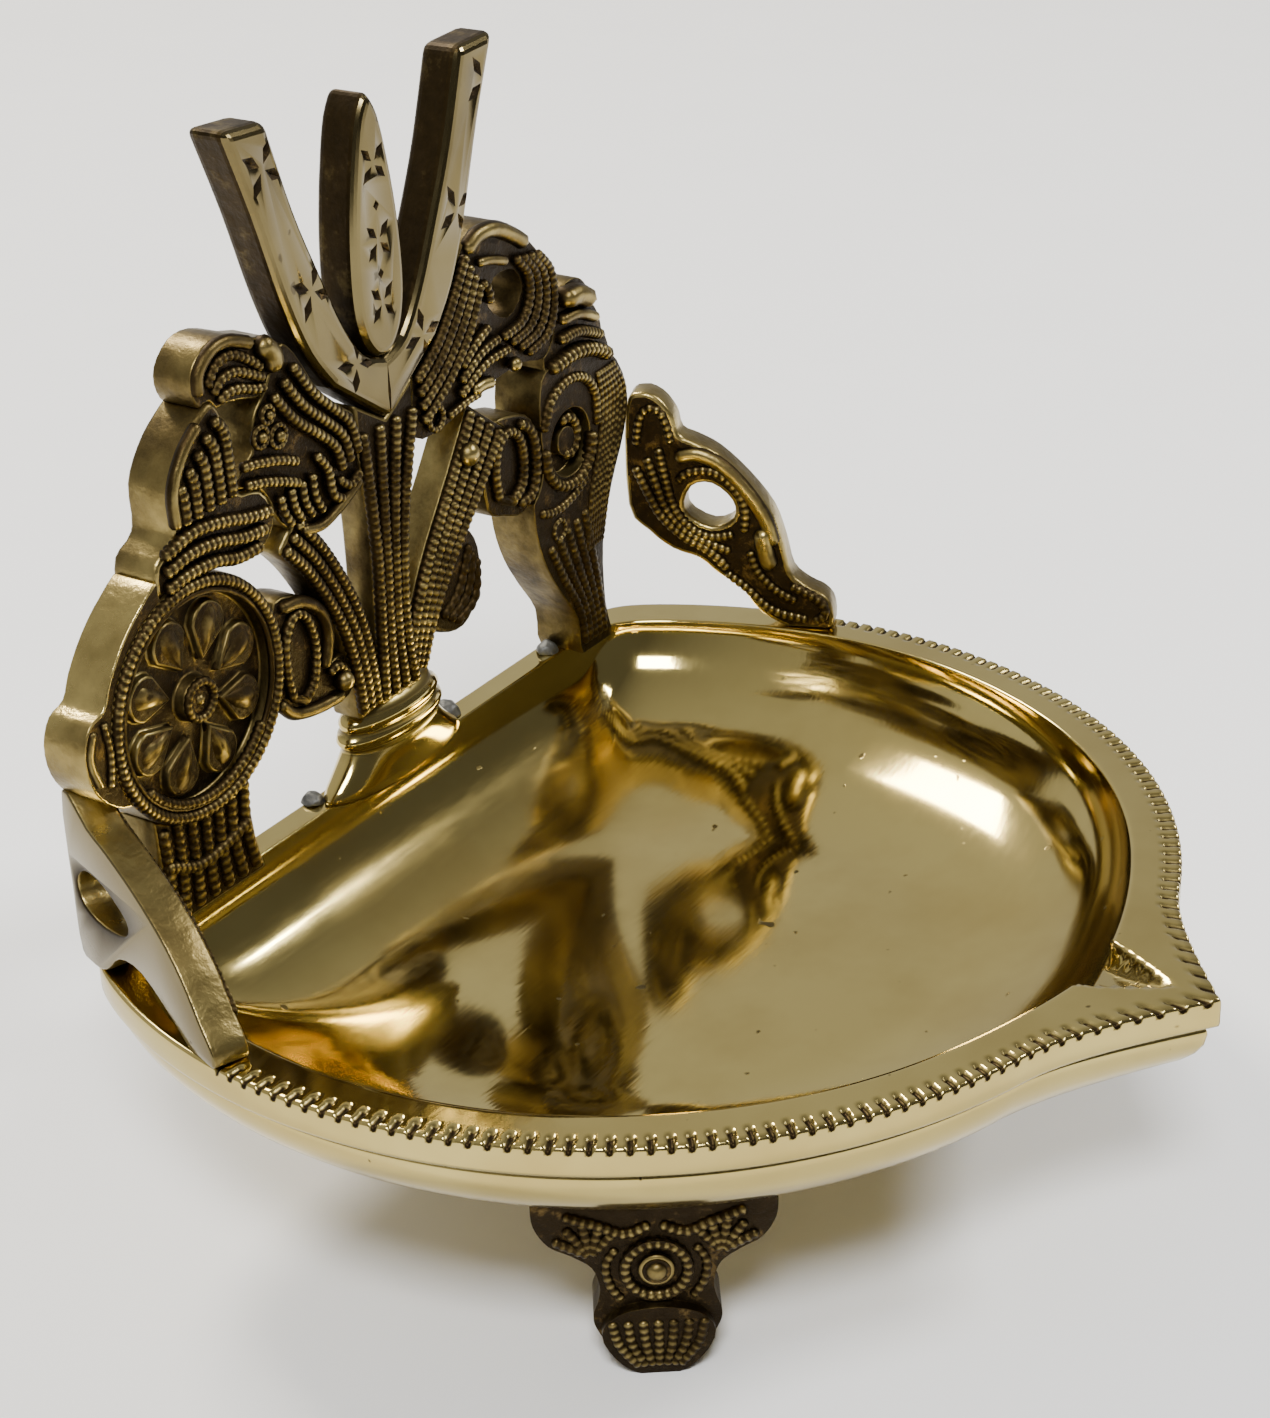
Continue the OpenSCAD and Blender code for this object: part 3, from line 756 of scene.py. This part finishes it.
def build_left_scrolls():
    bm = slab("left_scrolls")
    fan(bm, plate_face, [(-15.4, 54.2), (-12.4, 50.2), (-9, 47.1), (-6.6, 44.6), (-5.6, 41)],
        [(-18.8, 52), (-15.8, 48.4), (-12, 45.4), (-9.4, 43), (-8.4, 40)], 3, wide=1.4)
    fan(bm, plate_face, [(-24.6, 46), (-22, 45.6), (-18.6, 44.8), (-15.6, 43.6)],
        [(-24.2, 43.9), (-21, 43.2), (-18, 42.2), (-15.6, 41.2)], 2, wide=1.3)
    fan(bm, plate_face, [(-19, 41), (-18.6, 39), (-17.4, 37)],
        [(-13.6, 41.6), (-13.4, 39), (-12.2, 36.6)], 4, wide=1.2)
    rope(bm, plate_face, [(-12.8, 43.4), (-11, 41), (-10.4, 38), (-8.6, 36.8)], wide=1.3)
    rope(bm, plate_face, [(-9.4, 39.4), (-7.4, 38), (-5.4, 39)], wide=1.2)
    rope(bm, plate_face, [(-16, 35.9), (-12.6, 35.3), (-8.6, 36.6), (-5.6, 38.2)], wide=1.2,
         bead=None, wear=0.7)
    for u, v, r in ((-18.4, 47.4, 1.2), (-21.2, 48.2, 1.1), (-19.8, 50.2, 0.9)):
        ball(bm, plate_face, u, v, r * 0.55, out=0.2)
        ring(bm, plate_face, u, v, r, wide=0.7, bead=0.6)
    return bm


for build, node in ((build_left_shoulder, "left_shoulder"),
                    (build_left_curl, "left_top_curl"),
                    (build_left_scrolls, "left_scrolls")):
    finish_piece(build(), "beaded_" + node, [node], ornate)

# %% [markdown]
# Right of the mark four ribs follow its edge down to the stalk, others arch over a
# small hole, and a beaded clasp joins the branch to the conch.

# %% Right side of the plate
def build_right_scrolls():
    bm = slab("right_upper_scrolls", 0.5, 3)
    fan(bm, plate_face, [(5.2, 45.4), (9.6, 48.6), (13, 52.8), (15.8, 57)],
        [(6, 40.4), (11, 43.6), (15.4, 48), (18.2, 53)], 4, wide=1.4)
    fan(bm, plate_face, [(13.6, 44.4), (16.6, 46.4), (19.4, 47.6)],
        [(13, 41.2), (18, 43.4), (23, 43.8)], 3, wide=1.3)
    fan(bm, plate_face, [(25, 54), (27.3, 51.4), (27.4, 48.4), (25.6, 46.2), (21.6, 45.4)],
        [(29.2, 53.4), (31.8, 50.4), (32.2, 46.4), (30.6, 43.2), (26.4, 42)], 4, wide=1.4)
    rope(bm, plate_face, [(16, 57), (18.4, 58.3), (21.6, 58.2), (25, 56.6), (27.8, 54.8)],
         wide=2.0, bead=None, out=-0.4)
    rope(bm, plate_face, [(17.8, 55.4), (20.4, 55), (23.4, 54)], wide=1.2, bead=None)
    rope(bm, plate_face, [(18.4, 53), (19.6, 51.8), (19.8, 50)], wide=1.3)
    rope(bm, plate_face, [(15.4, 41), (17.4, 41.2), (19.6, 40.9)], wide=1.6, bead=None)
    ball(bm, plate_face, 23.4, 41.8, 0.9, out=0.3)
    ring(bm, plate_face, 8.4, 40.2, 1.3, wide=0.9, bead=0.7)
    rope(bm, plate_face, [(10.6, 39.6), (14, 40.2), (17, 40.4)], wide=1.1)
    return bm


def build_clasp():
    bm = slab("right_clasp")
    rope(bm, plate_face, [(19.6, 26.4), (19.2, 29.6), (19.9, 32.6), (21.9, 33.8), (24, 32.6),
                          (24.8, 29.8), (24.3, 26.6), (22, 25)], wide=1.5, closed=True,
         out=-0.2)
    rope(bm, plate_face, [(23.4, 24.2), (26.4, 24.9), (27.4, 28.6), (26.6, 32.4),
                          (24.2, 34.2)], wide=1.6, bead=1.0, out=-0.2)
    return bm


finish_piece(build_right_scrolls(), "ribbed_right_scrolls", ["right_upper_scrolls"], ornate)
finish_piece(build_clasp(), "beaded_clasp", ["right_clasp"], ornate)

# %% [markdown]
# The conch stands on its narrow tail. Four bands step up its spire, a beaded lip
# arches over the dark mouth, a spiral curls inside, and thin ribs run down its back.
# The bands differ only in width and beading, so a short list holds them.

# %% Conch
def build_conch():
    bm = slab("conch", 0.6, 3, side_wear=0.5)
    bands = (([(33.6, 46.2), (36.6, 46.2), (39.8, 44.6)], 2.8, None),
             ([(33.2, 43.9), (37, 43.7), (41, 42.0)], 1.5, None),
             ([(32.8, 41.6), (37, 41.5), (41.9, 39.6)], 1.6, 0.7),
             ([(30.6, 38.6), (35.6, 39.2), (39.8, 38.4), (43.4, 36.6)], 2.1, 0.95))
    for points, wide, bead in bands:
        rope(bm, plate_face, points, wide=wide, bead=bead, high=1.3)
    rope(bm, plate_face, [(28.7, 31.4), (30.4, 34.8), (34, 36.3), (37.8, 35.4), (39.8, 32.6),
                          (40, 28.6)], wide=1.5, bead=0.85, high=1.2)
    fan(bm, plate_face, [(40.6, 35.4), (41.3, 31), (40.4, 26), (38.2, 20), (36.8, 13)],
        [(43.8, 35.6), (46.2, 31.4), (45.2, 26.6), (42.2, 20.6), (39.9, 13.4)], 7,
        wide=1.0, bead=0.9, wear=0.9)
    rope(bm, plate_face, [(39, 28.4), (38.2, 25.4), (35.8, 23.4), (32, 23.6), (29.4, 26),
                          (28.9, 29.4)], wide=1.7, bead=1.0, high=1.2)
    rope(bm, plate_face, [(33.4, 31), (35.6, 31), (36.9, 29), (36, 26.8), (33.8, 26.6)],
         wide=1.6, bead=1.0, out=-1.0, high=1.2)
    rope(bm, plate_face, [(27.3, 21.6), (30.4, 20.9), (34, 21.4), (37.6, 23)], wide=1.4)
    ring(bm, plate_face, 31.2, 18.2, 1.2, wide=0.8, bead=0.7)
    fan(bm, plate_face, [(29, 16.8), (31.8, 11.4), (34.9, 6), (35.9, 1)],
        [(36.6, 19), (38, 13), (39.4, 6), (40, 1)], 5, wide=1.6, bead=1.0, out=-0.2,
        wear=0.75)
    return bm


finish_piece(build_conch(), "conch_body", ["conch"], ornate)

# %% [markdown]
# The right wing shows its ornament to the bowl: an arch of beads, ribs round its
# hole, a smooth band along the top and a small curl on the rim. The left wing is seen
# from outside, where it is filed smooth, and carries two ribs and a loop of beads on
# its inner face.

# %% Wings
def wing_ribs(bm, face):
    rope(bm, face, [(1.6, 23.6), (2.2, 27.2), (3.4, 28.6), (4.8, 28), (5.6, 26), (6, 24)],
         wide=1.3)
    fan(bm, face, [(1.4, 21), (3, 17.4), (4.6, 14.4), (7.4, 11.8), (10.6, 10), (13, 7.6)],
        [(4.4, 23.6), (5.2, 19.4), (6.2, 15.6), (8, 13.2), (10.6, 11.9), (13.8, 12.4)], 3,
        wide=1.5)
    rope(bm, face, [(6.6, 19), (8.2, 20.4), (11, 20.6), (13.6, 18.9), (15.1, 16), (15, 12.6)],
         wide=1.4)
    rope(bm, face, [(6.4, 22.2), (9, 22.8), (12, 21.6), (15, 18.6), (17.5, 14.8), (18.7, 11)],
         wide=2.0, bead=None, high=0.9)
    rope(bm, face, [(17.1, 13.4), (17.6, 10.4), (18.4, 7.8)], wide=2.4, bead=None, out=0.1)
    fan(bm, face, [(12.6, 7.2), (15.2, 5.2), (18.4, 2.4), (23, 1.2)],
        [(15.6, 10.4), (16.6, 7.6), (18.8, 5.2), (21.6, 3.6)], 2, wide=1.4)
    rope(bm, face, [(20.6, 5.8), (22.8, 4.8), (24.6, 3.6), (25, 2), (23.6, 1)], wide=1.4)


def build_right_wing():
    bm = slab("right_wing", 0.7, 4, side_wear=0.6, edge_wear=0.95,
              front=outward_of(*RIGHT_WING))
    wing_ribs(bm, right_wing_face)
    return bm


def darken_round_slot(bm):
    """Darkens every vertex in a box round the slot as much as the groove under the band."""
    dirt_and_shade = bm.verts.layers.float["dirt_and_shade"]
    start, end = (rim(*corner, 0) for corner in LEFT_WING)
    along = (end - start).to_2d().normalized()
    for v in bm.verts:
        a = (v.co - start).to_2d().dot(along) / MM
        z = (v.co - start).z / MM
        if -1.0 < a < 12.0 and 5.4 < z < 12.2:
            v[dirt_and_shade] = GROOVE_SHADE_AND_SLOT_DARK


def build_left_wing():
    bm = slab("left_wing", 0.5, 3, side_wear=0.3, edge_wear=0.9)
    darken_round_slot(bm)
    fan(bm, left_wing_inside, [(0, 17.6), (5, 15.4), (13, 12.4), (18, 9.6), (24.4, 3.4)],
        [(0, 15), (5, 13.6), (12.4, 10.6), (17, 7.6), (22.6, 2)], 2, wide=1.6)
    rope(bm, left_wing_inside, [(-0.2, 8), (1.4, 11.8), (5, 12.6), (9.6, 11.4), (12, 8.8),
                                (10.4, 6), (5, 5), (0.8, 6)], wide=1.3, closed=True)
    return bm


# Slot 0 of the left wing and the mark holds the darker copy of polished brass, whose darkness
# is painted shade.
POLISHED, ROUGH, ENGRAVED = 0, 1, 2


def polish_outside(bm, outward):
    """Faces that look outward are polished, engraved ones dark, all others rough."""
    for f in bm.faces:
        if f.material_index != ENGRAVED:
            f.material_index = POLISHED if f.normal.dot(outward) > 0.5 else ROUGH


finish_piece(build_right_wing(), "scrolled_right_wing", ["right_wing"], ornate)
left_wing_mesh = build_left_wing()
polish_outside(left_wing_mesh, outward_of(*LEFT_WING))
finish_piece(left_wing_mesh, "smooth_left_wing", ["left_wing"], (shaded_face_brass, antique),
             flat_angle=35)

# %% [markdown]
# The forehead mark is a tall U that holds a flame. Its front is polished flat and
# engraved with little four-petalled flowers: each petal is one stroke of a pointed
# graver, so a long four-sided point is cut out of the face. Its sides are left rough.

# %% Graver cuts
MARK_OUT, CLEAR = 0.4, 0.4


def point_cut(bm, u, v, long, wide, turn, deep=0.5):
    """A four-sided point, long one way, whose tip is deep under the mark's face."""
    a = math.radians(turn)
    made = bmesh.ops.create_cone(bm, segments=4, radius1=1, radius2=0, depth=1,
                                 cap_ends=True)["verts"]
    grow = (deep + CLEAR) / deep
    for f in {f for x in made for f in x.link_faces}:
        f.material_index = ENGRAVED
    for x in made:
        p = x.co.copy()
        s, t = p.x * long / 2 * grow, p.y * wide / 2 * grow
        out = MARK_OUT + CLEAR if p.z < 0 else MARK_OUT - deep
        x.co = plate_face(u + s * math.cos(a) - t * math.sin(a),
                          v + s * math.sin(a) + t * math.cos(a), out)


def flower_cut(bm, u, v, size, turn=0.0):
    """Four points whose inner tips nearly meet."""
    reach = 0.66 * size
    for k in range(4):
        a = turn + 45 + 90 * k
        point_cut(bm, u + reach * math.cos(math.radians(a)),
                  v + reach * math.sin(math.radians(a)), size, size * 0.46, a)


def carve(bm, cuts):
    """One closed mesh cut out of another."""
    bmesh.ops.recalc_face_normals(bm, faces=bm.faces)
    bmesh.ops.recalc_face_normals(cuts, faces=cuts.faces)
    made = []
    for name, mesh in (("body", bm), ("cuts", cuts)):
        data = bpy.data.meshes.new(name)
        mesh.to_mesh(data)
        mesh.free()
        for material in (shaded_face_brass, antique, recess):
            data.materials.append(material)
        thing = bpy.data.objects.new(name, data)
        bpy.context.collection.objects.link(thing)
        made.append(thing)
    body, tool = made
    modifier = body.modifiers.new("carve", "BOOLEAN")
    modifier.operation, modifier.object, modifier.solver = "DIFFERENCE", tool, "EXACT"
    modifier.use_self = True
    done = bmesh.new()
    done.from_object(body, bpy.context.evaluated_depsgraph_get())
    for thing in made:
        bpy.data.objects.remove(thing)
    return done


# %% [markdown]
# Six flowers follow the two arms of the U and a fine line marks the keel where they
# meet. Down the flame, flowers and single dots take turns. The flat angle keeps the
# polished face flat right up to the edge of every cut.

# %% Forehead mark
def mark_slab(node):
    bm = slab(node, 1.1, 4, side_wear=0.2, edge_wear=0.4)
    for f in bm.faces:
        f.material_index = 0
    return bm


def build_mark():
    cuts = new_mesh()
    for u, v, turn in ((-17.6, 75.4, 15), (-11.6, 61.0, 20), (-5.2, 51.0, 35),
                       (20.2, 75.4, -15), (14.0, 62.6, -20), (6.6, 50.6, -35)):
        flower_cut(cuts, u, v, 2.9, turn)
    point_cut(cuts, 0, 46.2, 7.0, 0.5, 90, deep=0.35)
    return carve(mark_slab("forehead_mark"), cuts)


def build_flame():
    cuts = new_mesh()
    for v in (71.4, 63.1, 56.3):
        flower_cut(cuts, 0, v, 2.3)
    for v in (66.9, 59.5, 53.2):
        point_cut(cuts, 0, v, 1.2, 1.0, 90)
    return carve(mark_slab("mark_flame"), cuts)


for build, node, name in ((build_mark, "forehead_mark", "engraved_forehead_mark"),
                          (build_flame, "mark_flame", "engraved_flame")):
    mark = build()
    polish_outside(mark, Vector((0, -1, 0)))
    finish_piece(mark, name, [node], (shaded_face_brass, antique, recess),
                 flat_angle=9)

# %% [markdown]
# The pedestal is moulded like a small column base, squeezed from front to back so that
# it sits on the narrow rim: two rings above a smooth skirt.

# %% Pedestal
PEDESTAL_X, PEDESTAL_Y, SQUEEZE, DEEPEST, AROUND = 0.2, 32.4, 0.42, 3.6, 64


def build_pedestal():
    """Rows of (radius, height, dirt and shade) from the skirt up, swept round an oval."""
    # The grooves between the rings and the rows that sit on the rim and carry the plate get
    # painted shade.
    rows = ((0, 0, 0.5), (12, 0, 0.5), (12.1, 0.6, 0.2), (11.4, 1.4, 0), (10, 2.6, 0),
            (8.8, 3.8, 0), (8.2, 4.6, 0.2), (7.9, 5.1, 0.9), (8.5, 5.5, 0.1), (8.9, 6.1, 0),
            (8.6, 6.7, 0.1), (7.7, 7.1, 0.9), (8.1, 7.5, 0.1), (8.3, 8.1, 0), (7.8, 8.7, 0.1),
            (7.0, 9.2, 0.8), (6.6, 10.2, 0.6), (0, 10.2, 0.6))
    bm = new_mesh()

    def skin(i, j):
        r, z, dirt_and_shade = rows[j]
        turn = 2 * math.pi * (i % AROUND) / AROUND
        deep = min(r * SQUEEZE, DEEPEST)
        return rim(PEDESTAL_X + r * math.cos(turn), PEDESTAL_Y + deep * math.sin(turn),
                   z), dirt_and_shade
    sheet(bm, AROUND, len(rows) - 1, skin, layer="dirt_and_shade")
    return bm


finish_piece(build_pedestal(), "moulded_pedestal", ["pedestal"], bowl_brass)

# %% [markdown]
# A foot is a flat casting with a face: draped bands over a rosette, fans on both
# shoulders and a fluted toe. All three feet are alike, so one function makes each of
# them from the way it looks and its distance from the middle.

# %% Feet
ROSETTE, SHOULDER_RIBS, RIB_LONG = (0, 12), 5, 4.2


def build_foot(node, angle, distance):
    face = foot_face(angle, distance)
    turn = math.radians(angle)
    bm = slab(node, 0.6, 3, side_wear=0.12, edge_wear=0.5,
              front=Vector((math.sin(turn), -math.cos(turn), 0)))
    for side in (-1, 1):
        for k in range(SHOULDER_RIBS):
            turn = math.radians(28 + 26 * k)
            near = Vector((side * 6.4, 13.8))
            far = near + Vector((side * math.cos(turn), math.sin(turn))) * RIB_LONG
            rope(bm, face, [near, (near + far) / 2, far], wide=1.3, bead=0.8)
        rope(bm, face, [(side * 0.4, 17.2), (side * 3, 16.2), (side * 5.4, 17.2),
                        (side * 9, 18.6)], wide=1.4)
        rope(bm, face, [(side * 3.4, 8.2), (side * 4.6, 10.2), (side * 4.9, 12.6),
                        (side * 3.8, 14.6)], wide=1.1)
    ring(bm, face, *ROSETTE, 3.1, wide=1.3, bead=0.85, out=0.3)
    ring(bm, face, *ROSETTE, 1.5, wide=0.7, bead=None, out=0.4)
    ball(bm, face, *ROSETTE, 1.1, out=0.6, flat=0.8)
    fan(bm, face, [(-4.6, 6.6), (-3.9, 3.6), (-1.9, 0.8)],
        [(4.6, 6.6), (3.9, 3.6), (1.9, 0.8)], 7, wide=1.25, bead=0.85, out=1.05)
    return bm


for node, angle, distance in (("foot_front_left", -55, 51.5), ("foot_front_right", 55, 51.5),
                              ("foot_rear", 180, 28)):
    finish_piece(build_foot(node, angle, distance), "ornate_" + node, [node], ornate)

# %% [markdown]
# Grey solder lumps show where the plate meets the rim. They keep the CAD model's round
# shapes, dented a little, because solder freezes unevenly. Vector noise starts from the
# clock unless it is given a seed, so it gets one: the dents are then the same each run.

# %% Solder
DENTS_PER_METRE, DENT, DENT_SEED = 900, 0.25, 1


def build_solder():
    bm = slab("solder", 0.1)
    noise.seed_set(DENT_SEED)
    for v in bm.verts:
        v.co += noise.noise_vector(v.co * DENTS_PER_METRE) * DENT * MM
    return bm


finish_piece(build_solder(), "solder_lumps", ["solder"], solder_metal)

# %% [markdown]
# The camera stands to the left of the lamp, a little above it, and looks down across
# the basin. The floor is plain and pale, and the light is a pale room with a few large
# soft lamps. Polished metal shows what is round it, so the room is darker towards the
# front: the brass then mirrors both light and shade.

# %% Camera
CAMERA_AT, CAMERA_LENS = (-232.65, -155.34, 155.41), 73.78
CAMERA_TURN, CAMERA_TILT, CAMERA_ROLL = -56.514, 26.669, -2.020


def stand_camera():
    turn, tilt, roll = (math.radians(a) for a in (CAMERA_TURN, CAMERA_TILT, CAMERA_ROLL))
    back = Vector((math.sin(turn) * math.cos(tilt), -math.cos(turn) * math.cos(tilt),
                   math.sin(tilt)))
    right = Vector((math.cos(turn), math.sin(turn), 0))
    up = back.cross(right)
    right, up = (math.cos(roll) * right + math.sin(roll) * up,
                 math.cos(roll) * up - math.sin(roll) * right)
    camera = bpy.data.objects.new("camera", bpy.data.cameras.new("camera"))
    turned = Matrix((right, up, back)).transposed().to_4x4()
    camera.matrix_world = Matrix.Translation(rim(*CAMERA_AT)) @ turned
    camera.data.lens = CAMERA_LENS
    camera.data.clip_start = 0.01
    bpy.context.collection.objects.link(camera)
    bpy.context.scene.camera = camera


stand_camera()
print("camera", round(rim(*CAMERA_AT).length, 3), "m from the lamp's origin")


# %% Floor and light
LAMP_TARGET = (0, 0, 0.04)


def lay_floor():
    bm = bmesh.new()
    bmesh.ops.create_grid(bm, x_segments=1, y_segments=1, size=3.0)
    mesh = bpy.data.meshes.new("floor")
    bm.to_mesh(mesh)
    bm.free()
    floor = bpy.data.objects.new("floor", mesh)
    bpy.context.collection.objects.link(floor)
    f = Finish("floor")
    grain = f.speckle(30.0)
    f.surface(Base_Color=f.blend(grain, (0.86, 0.86, 0.86, 1), (0.9, 0.9, 0.9, 1)),
              Roughness=0.7)
    mesh.materials.append(f.material)


def soft_lamp(name, position, size, power, colour=(1, 1, 1)):
    light = bpy.data.lights.new(name, "AREA")
    light.shape, light.size, light.energy, light.color = "SQUARE", size, power, colour
    lamp = bpy.data.objects.new(name, light)
    aim = (Vector(LAMP_TARGET) - Vector(position)).to_track_quat("-Z", "Y")
    lamp.matrix_world = Matrix.Translation(Vector(position)) @ aim.to_matrix().to_4x4()
    bpy.context.collection.objects.link(lamp)


def light_room():
    world = bpy.data.worlds.new("room")
    world.use_nodes = True
    tree = world.node_tree
    way = tree.nodes.new("ShaderNodeTexCoord")
    split = tree.nodes.new("ShaderNodeSeparateXYZ")
    blend = tree.nodes.new("ShaderNodeMapRange")
    tree.links.new(way.outputs["Generated"], split.inputs["Vector"])
    tree.links.new(split.outputs["Y"], blend.inputs["Value"])
    for name, value in (("From Min", -0.5), ("From Max", 0.5), ("To Min", 0.12),
                        ("To Max", 0.62)):
        blend.inputs[name].default_value = value
    back = tree.nodes["Background"]
    back.inputs["Color"].default_value = (1, 1, 1, 1)
    tree.links.new(blend.outputs["Result"], back.inputs["Strength"])
    bpy.context.scene.world = world
    soft_lamp("left", (-0.6, -0.35, 0.95), 0.3, 15.0)
    soft_lamp("right", (0.65, -0.6, 0.85), 0.25, 12.0)
    soft_lamp("back", (0.3, 0.75, 0.9), 0.3, 14.0, (1.0, 0.93, 0.8))


lay_floor()
light_room()
